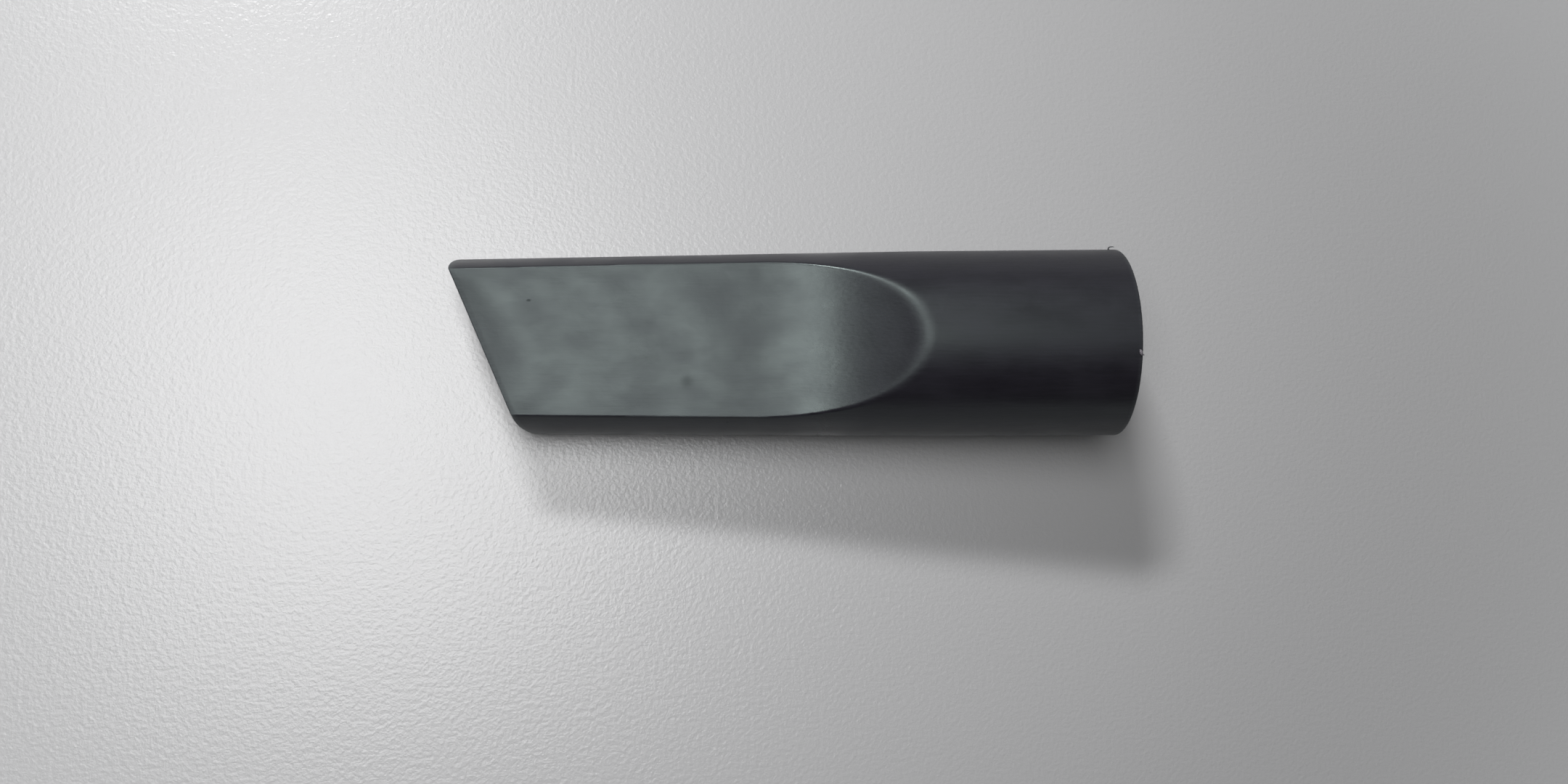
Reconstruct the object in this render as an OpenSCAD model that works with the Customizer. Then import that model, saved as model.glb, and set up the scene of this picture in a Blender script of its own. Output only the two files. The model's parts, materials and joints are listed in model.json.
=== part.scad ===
// Short crevice nozzle for a vacuum cleaner, moulded in one piece.
// A round socket at one end pushes over the suction tube. Beyond it, both
// sides are scooped away to a flat spout, and the mouth is cut off at a slant.
// It lies on its side as it comes to rest: on the lower edge of the mouth and
// on the arched end of the lower scoop, with the socket pointing along +X.

/* [Socket] */
// Bore of the socket, a push fit over the suction tube
socket_d = 35; // [32:0.5:38]
// Depth of the socket, from the rim to the stop
socket_depth = 30; // [20:1:36]
// Wall of the socket at the rim
socket_wall = 1.9; // [1.5:0.1:2.5]
// How far the stop stands in from the bore
stop_step = 0.8; // [0.5:0.1:1.4]
// Depth of the bevel that leads the tube into the bore
lead_in_depth = 1.5; // [0.8:0.1:3]
// Width of that bevel, across the face of the rim
lead_in_w = 0.5; // [0.3:0.1:0.8]
// Round on the outer edge of the rim
rim_round = 0.4; // [0.2:0.1:0.8]
// Slope of the socket's outside, in degrees a side
socket_draft = 0.42; // [0.2:0.02:0.8]

/* [Spout] */
// Overall length, from the rim to the tip of the mouth's long side
nozzle_len = 137.2; // [125:0.5:160]
// Slope of the spout's rounded sides, in degrees a side
spout_draft = 0.94; // [0.5:0.02:1.2]
// Thickness across the two flats, at the mouth
mouth_thickness = 20; // [16:0.5:24]
// Slope of each flat, in degrees
flat_draft = 0.2; // [0:0.05:0.6]
// Distance from the rim to the line where the flats start to sweep up
ramp_start = 75.5; // [73:0.5:80]
// Radius of that sweep, from each flat up to the round socket
ramp_r = 65; // [58:1:70]
// Slant of the mouth, in degrees from square
mouth_angle = 22.8; // [10:0.2:35]
// Round on the tip of the mouth's long side, seen across the flats
tip_round = 2.4; // [1:0.2:3]
// Round on the heel of the mouth's short side, seen across the flats
heel_round = 4.3; // [2:0.1:6]
// Wall of the spout
spout_wall = 2; // [1.5:0.1:2.4]

/* [Hidden] */
$fn = 144;

plastic = "#3a3c40";
// Cutters reach this far past what they cut
over = 1;
// The mouth's rounds bulge this far past the spout's sides, and so run out in them
round_reach = 0.1;

// The nozzle is drawn standing on its rim, with the axis along Z, the flats
// facing X and the mouth's long side at +Y. Heights are measured from the rim.
rim_r = socket_d / 2 + socket_wall;
half_mouth = mouth_thickness / 2;
half_ramp = half_mouth + (nozzle_len - ramp_start) * tan(flat_draft);

// Centre of the sweep, which is tangent to the flat where the two meet
sweep_x = half_ramp + ramp_r * cos(flat_draft);
sweep_z = ramp_start + ramp_r * sin(flat_draft);

// Height at which the sweep runs out through the round outside, which is the
// tip of the arch: the crossing of a circle and a straight line.
socket_slope = tan(socket_draft);
line_x = sweep_x - rim_r;
half_b = line_x * socket_slope - sweep_z;
slope_sq = 1 + pow(socket_slope, 2);
root = sqrt(pow(half_b, 2) - slope_sq * (pow(line_x, 2) + pow(sweep_z, 2) - pow(ramp_r, 2)));
arch_z = (-half_b - root) / slope_sq;
neck_r = rim_r - arch_z * socket_slope;
tip_r = neck_r - (nozzle_len - arch_z) * tan(spout_draft);

// Three points of the underside that touch the table, with the axis laid
// along X: two on the mouth's lower edge and the tip of the lower arch.
mouth_drop = tip_r * tan(mouth_angle);
half_mid = half_mouth + mouth_drop * tan(flat_draft);
touch_tip = [-nozzle_len, tip_r, -half_mouth];
touch_mid = [mouth_drop - nozzle_len, 0, -half_mid];
touch_arch = [-arch_z, 0, -neck_r];
table_cross = cross(touch_mid - touch_tip, touch_arch - touch_tip);
table_up = table_cross / norm(table_cross);

// Turns that bring the table level, and the height of the axis over it
lie_roll = atan2(table_up[1], table_up[2]);
lie_pitch = -asin(table_up[0]);
lie_lift = -table_up * touch_tip;

// Centre of a round that touches the mouth's slanted line, seen along X
function round_centre(across, round_r) = [
    across,
    nozzle_len - (tip_r - across) * tan(mouth_angle) - round_r / cos(mouth_angle)
];
heel_side = tip_r + 2 * mouth_drop * tan(spout_draft);
tip_centre = round_centre(tip_r + round_reach - tip_round, tip_round);
heel_centre = round_centre(heel_round - heel_side - round_reach, heel_round);

// How far a point reaches past the rim's centre once the nozzle lies down: the
// mouth reaches furthest on the upper edge of its tip's round, and the rim on the
// round at its foot.
function tip_reach(turn) =
    let(
        across = tip_centre[0] - tip_round * sin(turn),
        along = tip_centre[1] + tip_round * cos(turn),
        up = min(half_mouth, sqrt(pow(tip_r, 2) - pow(across, 2)))
    )
    along * cos(lie_pitch) - (up * cos(lie_roll) + across * sin(lie_roll)) * sin(lie_pitch);
reach_mouth = max([for (turn = [0 : 0.5 : mouth_angle]) tip_reach(turn)]);
reach_rim = (rim_r - rim_round) * abs(sin(lie_pitch)) + rim_round * (1 - cos(lie_pitch));
centre_x = (reach_mouth - reach_rim) / 2;

// Half outline of the round outside, moved inwards by inset
module tube_outline(inset = 0) {
    polygon([
        [0, 0],
        [rim_r - inset, 0],
        [neck_r - inset, arch_z],
        [tip_r - inset, nozzle_len],
        [0, nozzle_len]
    ]);
}

// What rounding takes off the rim's outer edge, in the outline's plane
module rim_corner() {
    translate([rim_r - rim_round, 0])
        difference() {
            translate([0, -over])
                square([rim_round + over, rim_round + over]);
            translate([0, rim_round])
                circle(r = rim_round);
        }
}

// One scoop seen along Y: a straight cut that leaves the flat, and the
// circle that sweeps up from it
module scoop_outline(inset = 0) {
    translate([half_ramp, ramp_start])
        rotate(flat_draft) {
            translate([-inset, 0])
                square([rim_r, nozzle_len]);
            translate([ramp_r, 0])
                circle(r = ramp_r + inset);
        }
}

// Both scoops, right across the width
module scoops(inset = 0) {
    for (side = [0, 1])
        mirror([side, 0, 0])
            rotate([90, 0, 0])
                linear_extrude(height = 2 * (rim_r + over), center = true)
                    scoop_outline(inset);
}

// Solid outer form
module outside() {
    difference() {
        rotate_extrude()
            difference() {
                tube_outline();
                rim_corner();
            }
        scoops();
    }
}

// Air passage of the spout, one wall inside the outer form and never wider
// than the hole in the stop
module duct() {
    difference() {
        intersection() {
            rotate_extrude()
                tube_outline(spout_wall);
            cylinder(r = socket_d / 2 - stop_step, h = nozzle_len);
        }
        scoops(spout_wall);
    }
}

// Bore that takes the suction tube, with its lead-in at the rim
module socket() {
    translate([0, 0, -over])
        cylinder(d = socket_d, h = socket_depth + over);
    bevel_slope = lead_in_w / lead_in_depth;
    translate([0, 0, -over])
        cylinder(
            r1 = socket_d / 2 + lead_in_w + over * bevel_slope,
            r2 = socket_d / 2,
            h = lead_in_depth + over
        );
}

// What the mouth's cut leaves, seen along X: all that lies under a slanted line
// with a round at each end
module mouth_outline() {
    outwards = [-sin(mouth_angle), cos(mouth_angle)];
    far = 2 * rim_r;
    polygon([
        [-far, 0],
        [far, 0],
        [far, tip_centre[1]],
        tip_centre + [tip_round, 0],
        tip_centre + tip_round * outwards,
        heel_centre + heel_round * outwards,
        heel_centre - [heel_round, 0],
        [-far, heel_centre[1]]
    ]);
    translate(tip_centre)
        circle(r = tip_round);
    translate(heel_centre)
        circle(r = heel_round);
}

// Everything past the mouth
module mouth_cut() {
    rotate([90, 0, 90])
        linear_extrude(height = 2 * (rim_r + over), center = true)
            difference() {
                translate([-rim_r - over, ramp_start])
                    square([2 * (rim_r + over), nozzle_len - ramp_start + over]);
                mouth_outline();
            }
}

module nozzle() {
    color(plastic)
        translate([centre_x, 0, lie_lift])
            rotate([lie_roll, lie_pitch, 0])
                rotate([0, -90, 0])
                    difference() {
                        outside();
                        duct();
                        socket();
                        mouth_cut();
                    }
}

nozzle();
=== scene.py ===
"""Looks of a short crevice nozzle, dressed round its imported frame. Lengths are in metres."""

import json
import math

import bpy
from mathutils import Matrix, Vector


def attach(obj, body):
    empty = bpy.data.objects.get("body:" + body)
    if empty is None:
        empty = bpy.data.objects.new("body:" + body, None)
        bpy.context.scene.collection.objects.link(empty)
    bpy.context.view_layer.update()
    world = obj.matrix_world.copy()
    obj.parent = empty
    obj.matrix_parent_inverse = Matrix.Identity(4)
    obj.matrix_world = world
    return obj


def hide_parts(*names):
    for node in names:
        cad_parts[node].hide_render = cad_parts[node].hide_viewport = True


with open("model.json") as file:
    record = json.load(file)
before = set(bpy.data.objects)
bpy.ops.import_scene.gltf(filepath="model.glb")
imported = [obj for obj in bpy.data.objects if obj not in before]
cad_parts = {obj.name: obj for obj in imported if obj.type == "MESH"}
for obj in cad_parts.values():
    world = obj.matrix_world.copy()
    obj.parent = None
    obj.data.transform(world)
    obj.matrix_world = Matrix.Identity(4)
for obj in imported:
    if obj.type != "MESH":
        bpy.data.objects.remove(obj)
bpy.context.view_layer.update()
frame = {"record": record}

# The moulding.
# One hollow piece of charcoal polypropylene, injection moulded: a round socket whose sides are
# scooped away to a flat spout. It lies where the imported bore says, mouth towards -X.

MM = 0.001
LEAD_IN_DEPTH = 1.5 * MM
LEAD_IN_W = 0.5 * MM
SOCKET_WALL = 1.9 * MM
RIM_ROUND = 0.4 * MM
STOP_STEP = 0.8 * MM
NOZZLE_LEN = 137.2 * MM
SPOUT_WALL = 2.0 * MM
LIP_ROUND = 0.3 * MM
SOCKET_SLOPE = math.tan(math.radians(0.42))
SPOUT_SLOPE = math.tan(math.radians(0.94))
FLAT_DRAFT = math.radians(0.2)
MOUTH_ANGLE = math.radians(22.8)
TIP_ROUND = 2.4 * MM
HEEL_ROUND = 4.3 * MM
ROUND_REACH = 0.1 * MM  # how far those two rounds bulge past the spout's sides
HALF_MOUTH = 10.0 * MM
RAMP_START = 75.5 * MM
RAMP_R = 65.0 * MM

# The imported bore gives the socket's radius, depth and direction, and the place of the rim
socket = frame["record"]["mounts"][0]
bore_r = socket["dims"]["r_mm"] * MM
bore_axis = Vector(socket["axis"])
socket_depth = socket["dims"]["length_mm"] * MM + LEAD_IN_DEPTH
rim_centre = Vector(socket["pos_m"]) + bore_axis * (socket_depth + LEAD_IN_DEPTH) / 2
rim_r = bore_r + SOCKET_WALL

# Centre of the sweep, and where the sweep runs out through the round outside
half_ramp = HALF_MOUTH + (NOZZLE_LEN - RAMP_START) * math.tan(FLAT_DRAFT)
sweep_across = half_ramp + RAMP_R * math.cos(FLAT_DRAFT)
sweep_along = RAMP_START + RAMP_R * math.sin(FLAT_DRAFT)
arch_along = sweep_along - math.sqrt(RAMP_R**2 - (sweep_across - rim_r) ** 2)
neck_r = rim_r - arch_along * SOCKET_SLOPE
tip_r = neck_r - (NOZZLE_LEN - arch_along) * SPOUT_SLOPE

# Centres of the rounds at the mouth's two corners, across the nozzle
heel_side = tip_r * (1 + 2 * math.tan(MOUTH_ANGLE) * SPOUT_SLOPE)
tip_across = tip_r + ROUND_REACH - TIP_ROUND
heel_across = HEEL_ROUND - heel_side - ROUND_REACH

# It rests on the mouth's lower edge and on the tip of the lower arch. Its roll follows from three
# points that touch, on the straight nozzle: X from the rim, Y across, Z over the middle.
mouth_drop = tip_r * math.tan(MOUTH_ANGLE)
half_mid = HALF_MOUTH + mouth_drop * math.tan(FLAT_DRAFT)
touch_tip = Vector((-NOZZLE_LEN, tip_r, -HALF_MOUTH))
touch_mid = Vector((mouth_drop - NOZZLE_LEN, 0, -half_mid))
touch_arch = Vector((-arch_along, 0, -neck_r))
table_up = (touch_mid - touch_tip).cross(touch_arch - touch_tip)
lie_turn = (math.atan2(table_up.y, table_up.z), -math.asin(bore_axis.z), 0.0)


def linear(code):
    """An sRGB hex colour as the linear colour that shaders take."""
    parts = [int(code[i : i + 2], 16) / 255 for i in (1, 3, 5)]
    return (*[c / 12.92 if c <= 0.04045 else ((c + 0.055) / 1.055) ** 2.4 for c in parts], 1.0)


MATH = "ShaderNodeMath"
VECTOR_MATH = "ShaderNodeVectorMath"
MAP_RANGE = "ShaderNodeMapRange"
NOISE = "ShaderNodeTexNoise"


def add_node(tree, kind, *values, named=None, **settings):
    """Adds a node with its settings. Values go to its sockets in order, and named ones by name.
    A node or a socket among the values is linked, and None leaves a socket as it is."""
    node = tree.nodes.new(kind)
    for name, setting in settings.items():
        setattr(node, name, setting)
    for key, value in [*enumerate(values), *(named or {}).items()]:
        if isinstance(value, bpy.types.Node):
            value = next(s for s in value.outputs if s.enabled)
        if isinstance(value, bpy.types.NodeSocket):
            tree.links.new(value, node.inputs[key])
        elif value is not None:
            node.inputs[key].default_value = value
    return node


def outside_r(along):
    """Radius of the round outside at a distance from the rim."""
    if along < arch_along:
        return rim_r - along * SOCKET_SLOPE
    return neck_r - (along - arch_along) * SPOUT_SLOPE


def stations(start, end, step):
    """Even stations from start towards end, which is left to the next stretch."""
    count = max(1, round(abs(end - start) / step))
    return [start + (end - start) * i / count for i in range(count)]


def wall_section():
    """Closed outline of the wall, as rows of (distance from the rim, radius, depth, scuff).
    Depth is how far a row lies under the outside, and scuff is 1 where it is worn most. Rows
    lie closest where the sweeps run out through the round wall."""
    bare = 0.0
    rim_scuff = 0.4
    edge_scuff = 1.0
    quarter = [math.radians(degrees) for degrees in range(0, 91, 18)]
    first = 1 * MM
    last = NOZZLE_LEN - LIP_ROUND
    arch_start, duct_arch_start, arch_end = 38 * MM, 40 * MM, 56 * MM
    throat_r = bore_r - STOP_STEP

    # Round the rim's outer edge, and along the outside to the mouth
    rows = []
    for turn in quarter:
        rim_row_r = rim_r - RIM_ROUND * (1 - math.sin(turn))
        rows.append((RIM_ROUND * (1 - math.cos(turn)), rim_row_r, 0.0, rim_scuff))
    for along in (
        stations(first, arch_start, step=2 * MM)
        + stations(arch_start, arch_end, step=0.35 * MM)
        + stations(arch_end, RAMP_START, step=0.8 * MM)
        + stations(RAMP_START, last, step=1.3 * MM)
    ):
        rows.append((along, outside_r(along), 0.0, bare))

    # Round the lip of the mouth
    for turn in quarter:
        depth = LIP_ROUND * (1 - math.cos(turn))
        along = last + LIP_ROUND * math.sin(turn)
        rows.append((along, outside_r(along) - depth, depth, edge_scuff))
    for depth in stations(LIP_ROUND, SPOUT_WALL - LIP_ROUND, step=0.2 * MM)[1:]:
        rows.append((NOZZLE_LEN, outside_r(NOZZLE_LEN) - depth, depth, bare))
    for turn in quarter:
        depth = SPOUT_WALL - LIP_ROUND * (1 - math.sin(turn))
        along = last + LIP_ROUND * math.cos(turn)
        rows.append((along, outside_r(along) - depth, depth, edge_scuff))

    # Back along the duct, over the stop and out through the bore and its lead-in
    for along in (
        stations(last - 1 * MM, RAMP_START, step=2.5 * MM)
        + stations(RAMP_START, arch_end, step=1.2 * MM)
        + stations(arch_end, duct_arch_start, step=0.6 * MM)
        + stations(duct_arch_start, socket_depth, step=2.5 * MM)
        + [socket_depth]
    ):
        rows.append((along, min(outside_r(along) - SPOUT_WALL, throat_r), SPOUT_WALL, bare))
    for along in stations(socket_depth, LEAD_IN_DEPTH, step=3.5 * MM) + [LEAD_IN_DEPTH]:
        rows.append((along, bore_r, SPOUT_WALL, bare))
    rows.append((0.0, bore_r + LEAD_IN_W, SPOUT_WALL, edge_scuff))
    return rows


def section_mesh(rows, sweep_r):
    """The outline as a ring of edges in the XY plane, X measured from the path it is swept on."""
    mesh = bpy.data.meshes.new("wall_section")
    count = len(rows)
    points = [(radius - sweep_r, along, 0) for along, radius, _, _ in rows]
    mesh.from_pydata(points, [(i, (i + 1) % count) for i in range(count)], [])
    for name, column in (("depth", 2), ("scuff", 3)):
        mesh.attributes.new(name, "FLOAT", "POINT").data.foreach_set(
            "value", [row[column] for row in rows]
        )
    return mesh


def corner_cut(tree, given, across, end, past):
    """How far the round at one end takes the mouth back from its slanted line."""
    round_r = given[end + " round"]
    lean = add_node(tree, MATH, given["Mouth angle"], operation="SINE")
    start = add_node(tree, MATH, round_r, lean, operation="MULTIPLY")
    start = add_node(tree, MATH, start, -1.0, operation="MULTIPLY")
    off = add_node(tree, MATH, across, given[end + " across"], operation="SUBTRACT")
    off = add_node(tree, MATH, off, start, operation=past)
    off_sq = add_node(tree, MATH, off, off, operation="MULTIPLY")
    arc_sq = add_node(tree, MATH, round_r, round_r, operation="MULTIPLY")
    arc_sq = add_node(tree, MATH, arc_sq, off_sq, operation="SUBTRACT")
    arc_sq = add_node(tree, MATH, arc_sq, 0.0, operation="MAXIMUM")
    arc = add_node(tree, MATH, arc_sq, operation="SQRT")
    slope = add_node(tree, MATH, given["Mouth angle"], operation="TANGENT")
    upright = add_node(tree, MATH, given["Mouth angle"], operation="COSINE")
    line = add_node(tree, MATH, round_r, upright, operation="DIVIDE")
    line = add_node(tree, MATH, off, slope, line, operation="MULTIPLY_ADD")
    return add_node(tree, MATH, line, arc, operation="SUBTRACT")


def moulding_tree():
    """Revolves the wall's outline, scoops both sides, slants the mouth and lays the nozzle down.
    A point's height over the middle plane is the lesser of its round height and the scoop's,
    joined by a soft minimum that rounds the edge between them, more round the arch's tip."""
    tree = bpy.data.node_groups.new("nozzle_moulding", "GeometryNodeTree")
    face = tree.interface
    face.new_socket("Wall section", in_out="INPUT", socket_type="NodeSocketGeometry")
    for name in (
        "Sweep radius",
        "Ramp start",
        "Ramp radius",
        "Sweep across",
        "Sweep along",
        "Flat slope",
        "Nozzle length",
        "Tip radius",
        "Spout slope",
        "Mouth angle",
        "Tip round",
        "Tip across",
        "Heel round",
        "Heel across",
        "Flat softness",
        "Arch softness",
        "Sink depth",
        "Sink spacing",
        "Flow mark depth",
        "Flow mark spacing",
        "Flow mark crest",
        "Flow mark bend",
        "Flow mark across",
        "Flat margin",
        "Crease scuff and highlight",
        "Column gather",
    ):
        face.new_socket(name, in_out="INPUT", socket_type="NodeSocketFloat")
    for name in ("Columns", "Seed"):
        face.new_socket(name, in_out="INPUT", socket_type="NodeSocketInt")
    for name in ("Lie turn", "Lie place"):
        face.new_socket(name, in_out="INPUT", socket_type="NodeSocketVector")
    face.new_socket("Material", in_out="INPUT", socket_type="NodeSocketMaterial")
    face.new_socket("Moulding", in_out="OUTPUT", socket_type="NodeSocketGeometry")
    given = add_node(tree, "NodeGroupInput").outputs

    # Sweep the outline round a circle, and read back each point's angle, radius and distance
    outline = add_node(tree, "GeometryNodeMeshToCurve", given["Wall section"])
    path = add_node(
        tree,
        "GeometryNodeCurvePrimitiveCircle",
        named={"Resolution": given["Columns"], "Radius": given["Sweep radius"]},
    )
    path = add_node(tree, "GeometryNodeSetCurveNormal", path, mode="Z_UP")
    ring = add_node(
        tree, "GeometryNodeCurveToMesh", named={"Curve": path, "Profile Curve": outline}
    )
    swept = add_node(tree, "ShaderNodeSeparateXYZ", add_node(tree, "GeometryNodeInputPosition"))
    flat_place = add_node(tree, "ShaderNodeCombineXYZ", swept.outputs["X"], swept.outputs["Y"], 0.0)
    drawn_r = add_node(tree, VECTOR_MATH, flat_place, operation="LENGTH").outputs["Value"]
    along = add_node(tree, MATH, swept.outputs["Z"], -1.0, operation="MULTIPLY")
    even = add_node(tree, MATH, swept.outputs["Y"], swept.outputs["X"], operation="ARCTAN2")

    # Columns gather at the four edges of the flats
    four_turns = add_node(tree, MATH, even, 4.0, operation="MULTIPLY")
    wave = add_node(tree, MATH, four_turns, operation="SINE")
    angle = add_node(tree, MATH, wave, given["Column gather"], even, operation="MULTIPLY_ADD")
    cosine = add_node(tree, MATH, angle, operation="COSINE")
    sine = add_node(tree, MATH, angle, operation="SINE")

    # Rows past the sweep's start close up towards the mouth: a slanted line with a round at each
    # end. Where a column meets the rounds depends on its taper, so the cut is worked out again.
    depth = add_node(tree, "GeometryNodeInputNamedAttribute", "depth", data_type="FLOAT")
    end_r = add_node(tree, MATH, given["Tip radius"], depth, operation="SUBTRACT")
    end_across = add_node(tree, MATH, end_r, cosine, operation="MULTIPLY")
    from_tip = add_node(tree, MATH, given["Tip radius"], end_across, operation="SUBTRACT")
    mouth_slope = add_node(tree, MATH, given["Mouth angle"], operation="TANGENT")
    square_cut = add_node(tree, MATH, from_tip, mouth_slope, operation="MULTIPLY")
    taper = add_node(tree, MATH, given["Spout slope"], cosine, operation="MULTIPLY")
    taper_share = add_node(tree, MATH, taper, mouth_slope, 1.0, operation="MULTIPLY_ADD")
    cut = add_node(tree, MATH, square_cut, taper_share, operation="DIVIDE")
    for _ in range(2):
        cut_across = add_node(tree, MATH, cut, taper, end_across, operation="MULTIPLY_ADD")
        tip_cut = corner_cut(tree, given, cut_across, "Tip", "MAXIMUM")
        heel_cut = corner_cut(tree, given, cut_across, "Heel", "MINIMUM")
        cut = add_node(tree, MATH, square_cut, tip_cut, operation="ADD")
        cut = add_node(tree, MATH, cut, heel_cut, operation="ADD")
        cut = add_node(tree, MATH, cut, taper_share, operation="DIVIDE")
    share = add_node(
        tree,
        MAP_RANGE,
        named={"Value": along, "From Min": given["Ramp start"], "From Max": given["Nozzle length"]},
    )
    back = add_node(tree, MATH, cut, share, operation="MULTIPLY")
    place = add_node(tree, MATH, along, back, operation="SUBTRACT")
    radius = add_node(tree, MATH, back, given["Spout slope"], drawn_r, operation="MULTIPLY_ADD")
    across = add_node(tree, MATH, radius, cosine, operation="MULTIPLY")
    round_signed = add_node(tree, MATH, radius, sine, operation="MULTIPLY")
    round_height = add_node(tree, MATH, round_signed, operation="ABSOLUTE")

    # Height of the scoop: the sweep's arc, then the flat with its draft
    before = add_node(tree, MATH, given["Sweep along"], place, operation="SUBTRACT")
    before = add_node(tree, MATH, before, 0.0, operation="MAXIMUM")
    before_sq = add_node(tree, MATH, before, 2.0, operation="POWER")
    arc_r = add_node(tree, MATH, given["Ramp radius"], depth, operation="ADD")
    arc_sq = add_node(tree, MATH, arc_r, 2.0, operation="POWER")
    chord_sq = add_node(tree, MATH, arc_sq, before_sq, operation="SUBTRACT")
    chord_sq = add_node(tree, MATH, chord_sq, 0.0, operation="MAXIMUM")
    chord = add_node(tree, MATH, chord_sq, operation="SQRT")
    arc_height = add_node(tree, MATH, given["Sweep across"], chord, operation="SUBTRACT")
    past = add_node(tree, MATH, place, given["Sweep along"], operation="SUBTRACT")
    past = add_node(tree, MATH, past, 0.0, operation="MAXIMUM")
    fall = add_node(tree, MATH, past, given["Flat slope"], operation="MULTIPLY")
    scoop_height = add_node(tree, MATH, arc_height, fall, operation="SUBTRACT")
    steepness = add_node(tree, MATH, before, chord, operation="DIVIDE")
    softness = add_node(
        tree,
        MATH,
        steepness,
        given["Arch softness"],
        given["Flat softness"],
        operation="MULTIPLY_ADD",
    )
    height = add_node(tree, MATH, round_height, scoop_height, softness, operation="SMOOTH_MIN")

    # The flats sink unevenly as they cool
    side = add_node(tree, MATH, sine, operation="SIGN")
    over_flat = add_node(tree, MATH, round_height, scoop_height, operation="SUBTRACT")
    flat_share = add_node(
        tree,
        MAP_RANGE,
        named={"Value": over_flat, "From Min": 0.0, "From Max": given["Flat margin"]},
        interpolation_type="SMOOTHSTEP",
    )
    sink_at = add_node(tree, "ShaderNodeCombineXYZ", place, across, side)
    sink_at = add_node(tree, VECTOR_MATH, sink_at, given["Sink spacing"], operation="DIVIDE")
    sink = add_node(
        tree,
        NOISE,
        named={"Vector": sink_at, "W": given["Seed"], "Scale": 1.0, "Detail": 1.0},
        noise_dimensions="4D",
    )
    sunk = add_node(tree, MATH, sink.outputs["Fac"], given["Sink depth"], operation="MULTIPLY")

    # Flow marks: shallow waves left by the melt, whose front was bent across the flat. They fade
    # from the mouth towards the socket.
    from_bend = add_node(tree, MATH, across, given["Flow mark across"], operation="SUBTRACT")
    bent = add_node(tree, MATH, from_bend, from_bend, operation="MULTIPLY")
    bent = add_node(tree, MATH, bent, given["Flow mark bend"], operation="MULTIPLY")
    front = add_node(tree, MATH, place, given["Flow mark crest"], operation="SUBTRACT")
    front = add_node(tree, MATH, front, bent, operation="SUBTRACT")
    turn = add_node(tree, MATH, front, given["Flow mark spacing"], operation="DIVIDE")
    turn = add_node(tree, MATH, turn, math.tau, operation="MULTIPLY")
    flow = add_node(tree, MATH, turn, operation="SINE")
    fading = add_node(
        tree,
        MAP_RANGE,
        named={"Value": place, "From Min": given["Ramp start"], "From Max": given["Nozzle length"]},
    )
    flow = add_node(tree, MATH, flow, fading, operation="MULTIPLY")
    sunk = add_node(tree, MATH, flow, given["Flow mark depth"], sunk, operation="MULTIPLY_ADD")
    sunk = add_node(tree, MATH, sunk, flat_share, operation="MULTIPLY")
    height = add_node(tree, MATH, height, sunk, operation="SUBTRACT")
    upright = add_node(tree, MATH, height, side, operation="MULTIPLY")

    # What the material reads: the place on the straight moulding, the edges and the inside
    off = add_node(tree, MATH, over_flat, operation="ABSOLUTE")
    # The creases along the flats are coloured lighter: partly scuffing, partly a painted highlight
    crease_wear_and_highlight = add_node(
        tree,
        MAP_RANGE,
        named={
            "Value": off,
            "From Min": softness,
            "From Max": 0.0,
            "To Max": given["Crease scuff and highlight"],
        },
        interpolation_type="SMOOTHSTEP",
    )
    drawn_scuff = add_node(tree, "GeometryNodeInputNamedAttribute", "scuff", data_type="FLOAT")
    wear_and_highlight = add_node(tree, MATH, crease_wear_and_highlight, drawn_scuff, operation="MAXIMUM")
    towards_socket = add_node(tree, MATH, place, -1.0, operation="MULTIPLY")
    straight = add_node(tree, "ShaderNodeCombineXYZ", towards_socket, across, upright)
    shaped = ring
    for name, value, kind in (("worn_edge_and_highlight", wear_and_highlight, "FLOAT"), ("moulded", straight, "FLOAT_VECTOR")):
        shaped = add_node(
            tree,
            "GeometryNodeStoreNamedAttribute",
            named={"Geometry": shaped, "Name": name, "Value": value},
            data_type=kind,
            domain="POINT",
        )
    shaped = add_node(
        tree, "GeometryNodeSetPosition", named={"Geometry": shaped, "Position": straight}
    )
    shaped = add_node(
        tree,
        "GeometryNodeTransform",
        named={
            "Geometry": shaped,
            "Rotation": given["Lie turn"],
            "Translation": given["Lie place"],
        },
    )
    shaped = add_node(tree, "GeometryNodeSetShadeSmooth", shaped)
    shaped = add_node(tree, "GeometryNodeRealizeInstances", shaped)
    shaped = add_node(
        tree,
        "GeometryNodeSetMaterial",
        named={"Geometry": shaped, "Material": given["Material"]},
    )
    add_node(tree, "NodeGroupOutput", shaped)
    return tree


# Places of a Mix node's two colours among its inputs, and of its colour among its outputs
MIX_A, MIX_B, MIX_RESULT = 6, 7, 2

# Marks, placed on the straight nozzle, whose X is measured from the rim
LINE_DEPTH = 0.016 * MM
SMUDGE_PLACE = (-89.2 * MM, -8.2 * MM, 10.2 * MM)
SMUDGE_EDGE = 2.6 * MM
SMUDGE_CORE = 0.39 * MM
SMUDGE_RAG = 1.2 * MM
SMUDGE_COVER = 0.5
DIRT_COVER = 0.8
DIRT_SINK = -0.6
POLISH_PLACE = -62.5 * MM
POLISH_REACH = 11 * MM
USED_START = HALF_MOUTH + 4 * MM
USED_MOST = rim_r - 3 * MM

# Roughness: its range in the clouds, what the polish takes off, and what use, scuffs, dirt and the
# unpolished inside add
CLOUDS_DULL = (0.35, 0.44)
POLISH_GAIN = 0.11
USED_DULL = 0.08
SCUFF_DULL = 0.12
DIRT_DULL = 0.2
INSIDE_DULL = 0.16


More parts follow.
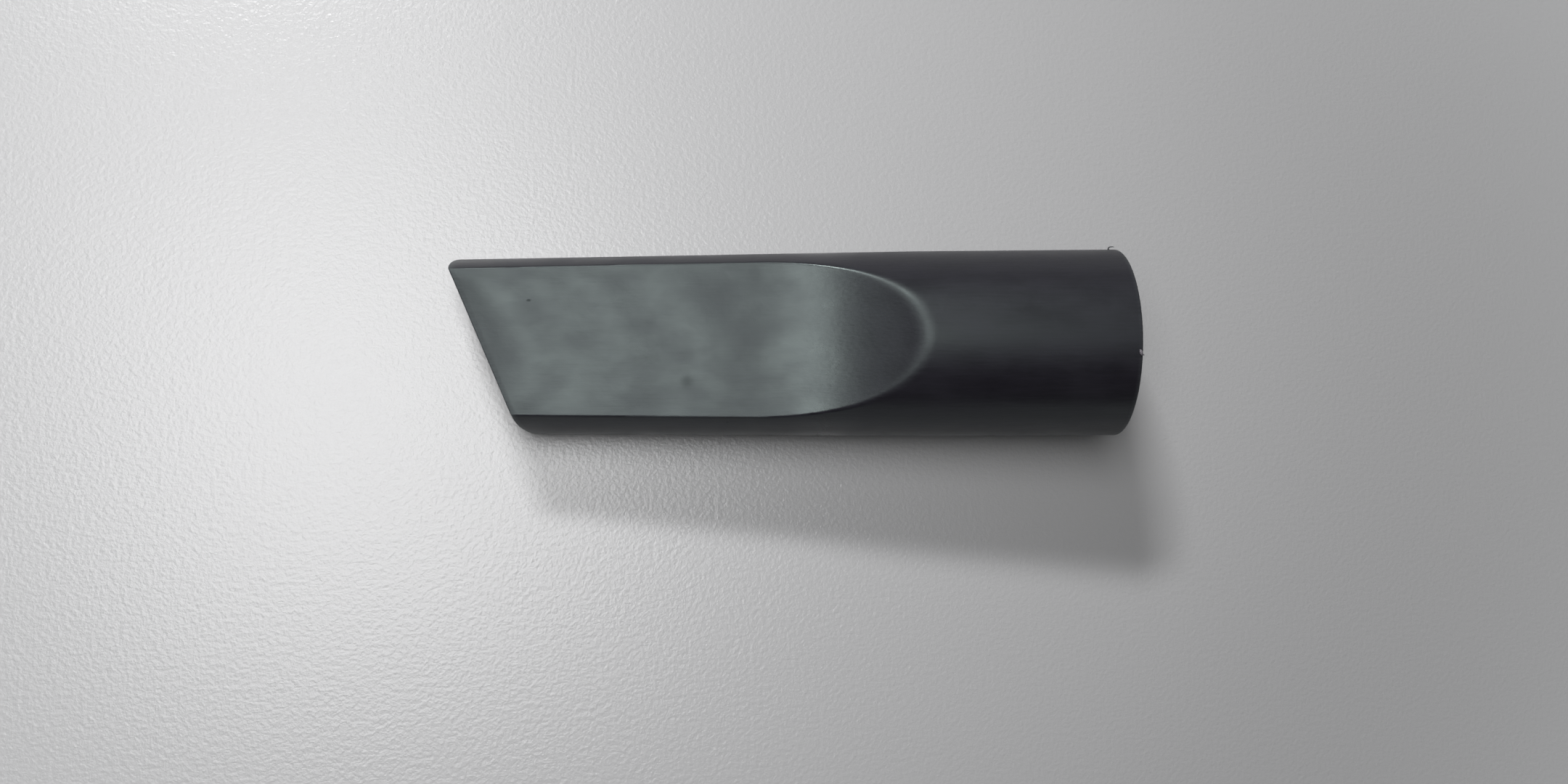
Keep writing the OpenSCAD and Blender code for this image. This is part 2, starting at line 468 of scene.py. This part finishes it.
def moulded_polypropylene():
    """Polypropylene coloured with carbon black, injection moulded in a tool that was stoned along
    its length: a dull sheen with faint lines along the piece, clouds and a few dark pits. Edges
    that were handled are scuffed lighter, the creases along the flats are lighter partly as a
    painted highlight, and the unpolished inside is duller."""
    material = bpy.data.materials.new("carbon_black_polypropylene_moulded")
    material.use_nodes = True
    tree = material.node_tree
    shader = tree.nodes["Principled BSDF"]
    place = add_node(tree, "ShaderNodeAttribute", attribute_name="moulded").outputs["Vector"]
    wear_and_highlight = add_node(tree, "ShaderNodeAttribute", attribute_name="worn_edge_and_highlight").outputs["Fac"]
    depth = add_node(tree, "ShaderNodeAttribute", attribute_name="depth").outputs["Fac"]

    # Stoning lines are 0.1 mm wide, drawn 0.45 mm wide so that they show
    line_size = (7 * MM, 0.45 * MM, 0.45 * MM)
    at = add_node(tree, VECTOR_MATH, place, line_size, operation="DIVIDE")
    lines = add_node(
        tree, NOISE, at, named={"Scale": 1.0, "Detail": 3.0, "Roughness": 0.6}
    ).outputs["Fac"]

    # Clouds in the sheen, 6 mm wide, where the melt cooled unevenly
    cloud_size = (9 * MM, 6 * MM, 6 * MM)
    at = add_node(tree, VECTOR_MATH, place, cloud_size, operation="DIVIDE")
    clouds = add_node(
        tree, NOISE, at, named={"Scale": 1.0, "Detail": 4.0, "Roughness": 0.55}
    ).outputs["Fac"]

    # Pits and dust, up to 0.6 mm across and twice as long. Not every cell has one, and a pit's
    # radius is given as a share of the spacing.
    pit_spacing = (10 * MM, 5 * MM, 5 * MM)
    empty_share = 0.45
    largest_pit = 0.06
    at = add_node(tree, VECTOR_MATH, place, pit_spacing, operation="DIVIDE")
    cells = add_node(tree, "ShaderNodeTexVoronoi", at, named={"Scale": 1.0})
    chance = add_node(tree, "ShaderNodeSeparateXYZ", cells.outputs["Color"]).outputs["X"]
    pit_r = add_node(
        tree,
        MAP_RANGE,
        named={
            "Value": chance,
            "From Min": empty_share,
            "From Max": 1.0,
            "To Max": largest_pit,
        },
    )
    pit = add_node(tree, MATH, cells.outputs["Distance"], pit_r, operation="LESS_THAN")

    # A smudge on the upper flat, broken up at its border
    from_smudge = add_node(
        tree, VECTOR_MATH, place, SMUDGE_PLACE, operation="DISTANCE"
    ).outputs["Value"]
    ragged = add_node(tree, MATH, lines, SMUDGE_RAG, from_smudge, operation="MULTIPLY_ADD")
    smudge = add_node(
        tree,
        MAP_RANGE,
        named={
            "Value": ragged,
            "From Min": SMUDGE_EDGE,
            "From Max": SMUDGE_CORE,
            "To Max": SMUDGE_COVER,
        },
        interpolation_type="SMOOTHSTEP",
    )

    # Colour: lines and clouds first, which both keep near 0.5 and are stretched, then scuffed
    #     edges, lighter at the flats' creases partly as a painted highlight, then dirt
    shade = add_node(tree, MATH, lines, clouds, operation="ADD")
    shade = add_node(tree, MAP_RANGE, named={"Value": shade, "From Min": 0.75, "From Max": 1.25})
    colour = add_node(
        tree,
        "ShaderNodeMix",
        named={0: shade, MIX_A: linear("#19151d"), MIX_B: linear("#211d26")},
        data_type="RGBA",
    )
    # Scuffed edges go lighter; at the flats' creases this lighter colour is partly a painted
    # highlight
    scuff = add_node(tree, MATH, wear_and_highlight, lines, operation="MULTIPLY")
    colour = add_node(
        tree,
        "ShaderNodeMix",
        named={0: scuff, MIX_A: colour, MIX_B: linear("#4d5153")},
        data_type="RGBA",
    )
    dirt = add_node(tree, MATH, pit, smudge, operation="MAXIMUM")
    dirt = add_node(tree, MATH, dirt, DIRT_COVER, operation="MULTIPLY")
    colour = add_node(
        tree,
        "ShaderNodeMix",
        named={0: dirt, MIX_A: colour, MIX_B: linear("#15161a")},
        data_type="RGBA",
    )
    tree.links.new(colour.outputs[MIX_RESULT], shader.inputs["Base Color"])

    # Sheen: the clouds are a touch duller or brighter. The tool was polished best at the foot of
    # the sweeps, and the socket is dulled by use.
    dull = add_node(
        tree,
        MAP_RANGE,
        named={
            "Value": clouds,
            "From Min": 0.3,
            "From Max": 0.7,
            "To Min": CLOUDS_DULL[0],
            "To Max": CLOUDS_DULL[1],
        },
    )
    where = add_node(tree, "ShaderNodeSeparateXYZ", place).outputs
    from_foot = add_node(tree, MATH, where["X"], POLISH_PLACE, operation="SUBTRACT")
    from_foot = add_node(tree, MATH, from_foot, operation="ABSOLUTE")
    polish = add_node(
        tree,
        MAP_RANGE,
        named={
            "Value": from_foot,
            "From Min": POLISH_REACH,
            "From Max": 0.0,
            "To Max": POLISH_GAIN,
        },
        interpolation_type="SMOOTHSTEP",
    )
    dull = add_node(tree, MATH, dull, polish, operation="SUBTRACT")
    over_middle = add_node(tree, MATH, where["Z"], operation="ABSOLUTE")
    used = add_node(
        tree,
        MAP_RANGE,
        named={
            "Value": over_middle,
            "From Min": USED_START,
            "From Max": USED_MOST,
            "To Max": USED_DULL,
        },
        interpolation_type="SMOOTHSTEP",
    )
    dull = add_node(tree, MATH, dull, used, operation="ADD")
    dull = add_node(tree, MATH, scuff, SCUFF_DULL, dull, operation="MULTIPLY_ADD")
    dull = add_node(tree, MATH, dirt, DIRT_DULL, dull, operation="MULTIPLY_ADD")
    inside = add_node(tree, MATH, depth, SPOUT_WALL, operation="DIVIDE")
    dull = add_node(tree, MATH, inside, INSIDE_DULL, dull, operation="MULTIPLY_ADD")
    tree.links.new(dull.outputs[0], shader.inputs["Roughness"])
    shader.inputs["IOR"].default_value = 1.49
    shader.inputs["Specular Tint"].default_value = linear("#edfffb")

    # Relief of the lines, of a grain 0.7 mm wide and of the pits
    grain_size = (1.1 * MM, 0.7 * MM, 0.7 * MM)
    at = add_node(tree, VECTOR_MATH, place, grain_size, operation="DIVIDE")
    grain = add_node(tree, NOISE, at, named={"Scale": 1.0, "Detail": 2.0}).outputs["Fac"]
    relief = add_node(tree, MATH, lines, grain, operation="ADD")
    relief = add_node(tree, MATH, dirt, DIRT_SINK, relief, operation="MULTIPLY_ADD")
    bump = add_node(
        tree,
        "ShaderNodeBump",
        named={"Strength": 1.0, "Distance": LINE_DEPTH, "Height": relief},
    )
    tree.links.new(bump.outputs[0], shader.inputs["Normal"])
    return material


def built_piece(name, mesh, tree, inputs):
    """Runs a tree on a mesh, and returns the result as a plain piece at the origin."""
    carrier = bpy.data.objects.new(name + "_carrier", mesh)
    bpy.context.scene.collection.objects.link(carrier)
    modifier = carrier.modifiers.new("form", "NODES")
    modifier.node_group = tree
    sockets = {item.name: item.identifier for item in tree.interface.items_tree}
    for label, value in inputs.items():
        modifier[sockets[label]] = value
    made = bpy.data.meshes.new_from_object(
        carrier.evaluated_get(bpy.context.evaluated_depsgraph_get()),
        preserve_all_data_layers=True,
        depsgraph=bpy.context.evaluated_depsgraph_get(),
    )
    made.name = name
    carrier.modifiers.clear()
    bpy.data.objects.remove(carrier)
    bpy.data.meshes.remove(mesh)
    piece = bpy.data.objects.new(name, made)
    bpy.context.scene.collection.objects.link(piece)
    return piece


polypropylene = moulded_polypropylene()
moulding = built_piece(
    "nozzle_moulding",
    section_mesh(wall_section(), bore_r),
    moulding_tree(),
    {
        "Sweep radius": bore_r,
        "Ramp start": RAMP_START,
        "Ramp radius": RAMP_R,
        "Sweep across": sweep_across,
        "Sweep along": sweep_along,
        "Flat slope": math.tan(FLAT_DRAFT),
        "Nozzle length": NOZZLE_LEN,
        "Tip radius": tip_r,
        "Spout slope": SPOUT_SLOPE,
        "Mouth angle": MOUTH_ANGLE,
        "Tip round": TIP_ROUND,
        "Tip across": tip_across,
        "Heel round": HEEL_ROUND,
        "Heel across": heel_across,
        "Flat softness": 0.35 * MM,
        "Arch softness": 1.9 * MM,
        "Sink depth": 0.05 * MM,
        "Sink spacing": 9 * MM,
        "Flow mark depth": 0.27 * MM,
        "Flow mark spacing": 19.1 * MM,
        "Flow mark crest": 107.0 * MM,
        "Flow mark bend": 0.02 / MM,
        "Flow mark across": -6.6 * MM,
        "Flat margin": 4 * MM,
        "Crease scuff and highlight": 0.2,
        "Column gather": 0.12,
        "Columns": 288,
        "Seed": 4,
        "Lie turn": lie_turn,
        "Lie place": rim_centre,
        "Material": polypropylene,
    },
)
SHARP_FROM = math.radians(32)
moulding.data.set_sharp_from_angle(angle=SHARP_FROM)
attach(moulding, "root")
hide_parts("nozzle")

# Flash at the rim.
# Where the two halves of the tool met, plastic crept out: a whisker of it stands on the rim's far
# side, and a torn burr on its end face, stress-whitened where it was bent.


def flash_tree():
    """Sweeps a round along a few points, as thick as each point says, and lays it down as the
    moulding lies. Noise keeps the flash from being even."""
    tree = bpy.data.node_groups.new("flash", "GeometryNodeTree")
    face = tree.interface
    face.new_socket("Points", in_out="INPUT", socket_type="NodeSocketGeometry")
    for name in ("Unevenness", "Grain"):
        face.new_socket(name, in_out="INPUT", socket_type="NodeSocketFloat")
    for name in ("Smoothing", "Columns", "Seed"):
        face.new_socket(name, in_out="INPUT", socket_type="NodeSocketInt")
    for name in ("Lie turn", "Lie place"):
        face.new_socket(name, in_out="INPUT", socket_type="NodeSocketVector")
    face.new_socket("Material", in_out="INPUT", socket_type="NodeSocketMaterial")
    face.new_socket("Flash", in_out="OUTPUT", socket_type="NodeSocketGeometry")
    given = add_node(tree, "NodeGroupInput").outputs

    path = add_node(tree, "GeometryNodeMeshToCurve", given["Points"])
    path = add_node(tree, "GeometryNodeCurveSplineType", path, spline_type="CATMULL_ROM")
    path = add_node(
        tree,
        "GeometryNodeSetSplineResolution",
        named={"Geometry": path, "Resolution": given["Smoothing"]},
    )
    ring = add_node(
        tree,
        "GeometryNodeCurvePrimitiveCircle",
        named={"Resolution": given["Columns"], "Radius": 1.0},
    )
    thickness = add_node(tree, "GeometryNodeInputNamedAttribute", "thickness", data_type="FLOAT")
    swept = add_node(
        tree,
        "GeometryNodeCurveToMesh",
        named={"Curve": path, "Profile Curve": ring, "Scale": thickness, "Fill Caps": True},
    )
    at = add_node(tree, "GeometryNodeInputPosition")
    at = add_node(tree, VECTOR_MATH, at, given["Grain"], operation="DIVIDE")
    noise = add_node(
        tree,
        NOISE,
        named={"Vector": at, "W": given["Seed"], "Scale": 1.0, "Detail": 1.0},
        noise_dimensions="4D",
    )
    push = add_node(tree, VECTOR_MATH, noise.outputs["Color"], (0.5,) * 3, operation="SUBTRACT")
    push = add_node(tree, VECTOR_MATH, push, given["Unevenness"], operation="MULTIPLY")
    swept = add_node(tree, "GeometryNodeSetPosition", named={"Geometry": swept, "Offset": push})
    swept = add_node(
        tree,
        "GeometryNodeStoreNamedAttribute",
        named={
            "Geometry": swept,
            "Name": "moulded",
            "Value": add_node(tree, "GeometryNodeInputPosition"),
        },
        data_type="FLOAT_VECTOR",
        domain="POINT",
    )
    swept = add_node(
        tree,
        "GeometryNodeTransform",
        named={
            "Geometry": swept,
            "Rotation": given["Lie turn"],
            "Translation": given["Lie place"],
        },
    )
    swept = add_node(tree, "GeometryNodeSetShadeSmooth", swept)
    swept = add_node(tree, "GeometryNodeRealizeInstances", swept)
    swept = add_node(
        tree,
        "GeometryNodeSetMaterial",
        named={"Geometry": swept, "Material": given["Material"]},
    )
    add_node(tree, "NodeGroupOutput", swept)
    return tree


TEAR_STEP = 0.15 * MM
TEAR_DEPTH = 0.03 * MM


def torn_polypropylene():
    """The same plastic, bent until it turned pale: a dull greyish skin over a darker core, torn
    in fine steps 0.15 mm apart."""
    material = bpy.data.materials.new("carbon_black_polypropylene_torn")
    material.use_nodes = True
    tree = material.node_tree
    shader = tree.nodes["Principled BSDF"]
    place = add_node(tree, "ShaderNodeAttribute", attribute_name="moulded").outputs["Vector"]
    at = add_node(tree, VECTOR_MATH, place, (TEAR_STEP,) * 3, operation="DIVIDE")
    steps = add_node(tree, NOISE, at, named={"Scale": 1.0, "Detail": 2.0}).outputs["Fac"]
    pale = add_node(tree, MAP_RANGE, named={"Value": steps, "From Min": 0.35, "From Max": 0.6})
    colour = add_node(
        tree,
        "ShaderNodeMix",
        named={0: pale, MIX_A: linear("#3d3b42"), MIX_B: linear("#8a858c")},
        data_type="RGBA",
    )
    tree.links.new(colour.outputs[MIX_RESULT], shader.inputs["Base Color"])
    shader.inputs["Roughness"].default_value = 0.6
    shader.inputs["IOR"].default_value = 1.49
    bump = add_node(
        tree,
        "ShaderNodeBump",
        named={"Strength": 1.0, "Distance": TEAR_DEPTH, "Height": steps},
    )
    tree.links.new(bump.outputs[0], shader.inputs["Normal"])
    return material


def flash_mesh(name, rows):
    """Points in mm on the straight nozzle, from the rim, across and over the middle, with the
    flash's half thickness at each."""
    mesh = bpy.data.meshes.new(name)
    points = [(-along * MM, across * MM, up * MM) for along, across, up, _ in rows]
    mesh.from_pydata(points, [(i, i + 1) for i in range(len(rows) - 1)], [])
    mesh.attributes.new("thickness", "FLOAT", "POINT").data.foreach_set(
        "value", [row[3] * MM for row in rows]
    )
    return mesh


flash = flash_tree()
torn = torn_polypropylene()
for name, material, rows in (
    (
        "rim_whisker",
        polypropylene,
        [
            (1.6, 18.7, 3.3, 0.22),
            (1.6, 19.05, 3.35, 0.18),
            (1.58, 19.3, 3.4, 0.15),
            (1.48, 19.48, 3.45, 0.13),
            (1.25, 19.6, 3.55, 0.11),
            (0.95, 19.64, 3.6, 0.09),
            (0.65, 19.62, 3.7, 0.07),
            (0.45, 19.6, 3.75, 0.03),
        ],
    ),
    (
        "rim_burr",
        torn,
        [
            (0.75, -3.4, 19.1, 0.08),
            (0.6, -3.65, 19.14, 0.24),
            (0.5, -3.95, 19.1, 0.32),
            (0.42, -4.25, 19.02, 0.3),
            (0.2, -4.4, 18.94, 0.19),
            (-0.02, -4.42, 18.9, 0.12),
            (-0.22, -4.44, 18.88, 0.05),
        ],
    ),
):
    bead = built_piece(
        name,
        flash_mesh(name + "_points", rows),
        flash,
        {
            "Unevenness": 0.12 * MM,
            "Grain": 0.3 * MM,
            "Smoothing": 5,
            "Columns": 12,
            "Seed": 2,
            "Lie turn": lie_turn,
            "Lie place": rim_centre,
            "Material": material,
        },
    )
    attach(bead, "root")

# The table.
# A pale laminate top, pressed with a fine orange-peel grain that breaks up its dull shine. It
# isn't part of the nozzle.

TABLE_HALF = 3.0
TABLE_GRAIN = 1 * MM
TABLE_GRAIN_DEPTH = 0.1 * MM
SURROUND = "#d9dadb"

# Distances from the nozzle where the table starts to fade and is gone
FADE_START = 0.12
FADE_END = 0.45


def seen_directly(tree):
    """1 for what the camera, a glossy reflection or glass looks at, and 0 for scattered light."""
    ray = add_node(tree, "ShaderNodeLightPath").outputs
    seen = add_node(tree, MATH, ray["Is Camera Ray"], ray["Is Glossy Ray"], operation="MAXIMUM")
    return add_node(tree, MATH, seen, ray["Is Transmission Ray"], operation="MAXIMUM")


def pressed_laminate():
    """Melamine laminate pressed against a grained plate: pale, half matt, with grains 1 mm
    apart that show as a fine sparkle. Far from the nozzle it fades into the pale surround."""
    material = bpy.data.materials.new("pale_laminate_grained")
    material.use_nodes = True
    tree = material.node_tree
    shader = tree.nodes["Principled BSDF"]
    place = add_node(tree, "ShaderNodeTexCoord").outputs["Object"]
    at = add_node(tree, VECTOR_MATH, place, (TABLE_GRAIN,) * 3, operation="DIVIDE")
    grain = add_node(tree, NOISE, at, named={"Scale": 1.0, "Detail": 2.0, "Roughness": 0.6})
    bump = add_node(
        tree,
        "ShaderNodeBump",
        named={"Strength": 1.0, "Distance": TABLE_GRAIN_DEPTH, "Height": grain.outputs["Fac"]},
    )
    tree.links.new(bump.outputs[0], shader.inputs["Normal"])
    shader.inputs["Base Color"].default_value = linear("#bcbcbd")
    shader.inputs["Roughness"].default_value = 0.33
    shader.inputs["IOR"].default_value = 1.6
    away = add_node(tree, VECTOR_MATH, place, operation="LENGTH").outputs["Value"]
    far = add_node(
        tree,
        MAP_RANGE,
        named={"Value": away, "From Min": FADE_START, "From Max": FADE_END},
        interpolation_type="SMOOTHSTEP",
    )
    far = add_node(tree, MATH, far, seen_directly(tree), operation="MULTIPLY")
    surround = add_node(tree, "ShaderNodeEmission", linear(SURROUND), 1.0)
    faded = add_node(tree, "ShaderNodeMixShader", far, shader, surround)
    tree.links.new(faded.outputs[0], tree.nodes["Material Output"].inputs["Surface"])
    return material


table_mesh = bpy.data.meshes.new("table_top")
table_mesh.from_pydata(
    [
        (-TABLE_HALF, -TABLE_HALF, 0),
        (TABLE_HALF, -TABLE_HALF, 0),
        (TABLE_HALF, TABLE_HALF, 0),
        (-TABLE_HALF, TABLE_HALF, 0),
    ],
    [],
    [(0, 1, 2, 3)],
)
table = bpy.data.objects.new("table_top", table_mesh)
bpy.context.scene.collection.objects.link(table)
table_mesh.materials.append(pressed_laminate())

# The light.
# Two softboxes in a dark room: a large one overhead, and a small one behind the nozzle, which
# throws its shadow towards the viewer.


def soft_light(name, place, aim, width, height, spread, power):
    """A rectangular area light at a place, turned to a point of the table. Spread is the angle
    that its grid lets through, in degrees."""
    lamp = bpy.data.lights.new(name, "AREA")
    lamp.shape = "RECTANGLE"
    lamp.size = width
    lamp.size_y = height
    lamp.spread = math.radians(spread)
    lamp.energy = power
    holder = bpy.data.objects.new(name, lamp)
    place = Vector(place)
    turn = (place - Vector(aim)).to_track_quat("Z", "Y")
    holder.matrix_world = Matrix.LocRotScale(place, turn, None)
    bpy.context.scene.collection.objects.link(holder)


soft_light(
    "overhead_softbox",
    place=(-0.16, 0.05, 0.58),
    aim=(-0.125, 0.06, 0),
    width=0.32,
    height=0.28,
    spread=90,
    power=0.64,
)
soft_light(
    "back_softbox",
    place=(-0.262, 0.575, 0.65),
    aim=(0, 0, 0),
    width=0.2,
    height=0.08,
    spread=180,
    power=4.6,
)

# The surround is pale where it is seen, and scatters little light on the nozzle. Reflections find
# it only near the horizon, and above that a dimmer wall on all sides but the viewer's. Tops and
# foot are the Z of a direction, and the wall's end and full part are its Y.
ROOM_LIGHT = 0.03
WALL_LIGHT = 0.5
HORIZON_TOP = 0.04
WALL_FOOT = 0.05
WALL_TOP = 0.5
WALL_END = -0.9
WALL_FULL = -0.45

room = bpy.data.worlds.new("room")
room.use_nodes = True
room_tree = room.node_tree
direction = add_node(room_tree, "ShaderNodeTexCoord").outputs["Generated"]
towards = add_node(room_tree, "ShaderNodeSeparateXYZ", direction).outputs
horizon = add_node(
    room_tree,
    MAP_RANGE,
    named={"Value": towards["Z"], "From Min": HORIZON_TOP, "From Max": 0.0},
    interpolation_type="SMOOTHSTEP",
)
wall_height = add_node(
    room_tree,
    MAP_RANGE,
    named={"Value": towards["Z"], "From Min": WALL_TOP, "From Max": WALL_FOOT},
    interpolation_type="SMOOTHSTEP",
)
wall = add_node(
    room_tree,
    MAP_RANGE,
    named={
        "Value": towards["Y"],
        "From Min": WALL_END,
        "From Max": WALL_FULL,
        "To Max": WALL_LIGHT,
    },
    interpolation_type="SMOOTHSTEP",
)
wall = add_node(room_tree, MATH, wall, wall_height, operation="MULTIPLY")
pale = add_node(room_tree, MATH, horizon, wall, operation="MAXIMUM")
looked_at = add_node(room_tree, "ShaderNodeLightPath").outputs["Is Camera Ray"]
pale = add_node(room_tree, MATH, pale, looked_at, operation="MAXIMUM")
pale = add_node(room_tree, MATH, pale, seen_directly(room_tree), operation="MULTIPLY")
strength = add_node(
    room_tree, MAP_RANGE, named={"Value": pale, "To Min": ROOM_LIGHT, "To Max": 1.0}
)
background = room_tree.nodes["Background"]
background.inputs["Color"].default_value = linear(SURROUND)
room_tree.links.new(strength.outputs[0], background.inputs["Strength"])
bpy.context.scene.world = room

# The camera.
# It looks down almost straight, from the left of the nozzle's middle, as the photograph does.
# Its place, aim and lens were fitted to the nozzle's outline in the photograph.

LENS_MM = 32.765
SENSOR_MM = 36.0
CAMERA_PLACE = Vector((-53.606, -42.852, 302.405)) * MM
CAMERA_AIM = Vector((0.17676, 0.11289, -0.97776)).normalized()
CAMERA_ROLL = math.radians(-0.9915)

camera = bpy.data.cameras.new("camera")
camera.lens = LENS_MM
camera.sensor_width = SENSOR_MM
camera.clip_start = 0.01
camera.clip_end = 10
camera_right = CAMERA_AIM.cross(Vector((0, 1, 0))).normalized()
camera_up = camera_right.cross(CAMERA_AIM)
rolled_right = camera_right * math.cos(CAMERA_ROLL) + camera_up * math.sin(CAMERA_ROLL)
rolled_up = camera_up * math.cos(CAMERA_ROLL) - camera_right * math.sin(CAMERA_ROLL)
camera_turn = Matrix((rolled_right, rolled_up, -CAMERA_AIM)).transposed()
camera_holder = bpy.data.objects.new("camera", camera)
camera_holder.matrix_world = Matrix.LocRotScale(CAMERA_PLACE, camera_turn.to_quaternion(), None)
bpy.context.scene.collection.objects.link(camera_holder)
bpy.context.scene.camera = camera_holder

bpy.context.scene.view_settings.view_transform = "Standard"
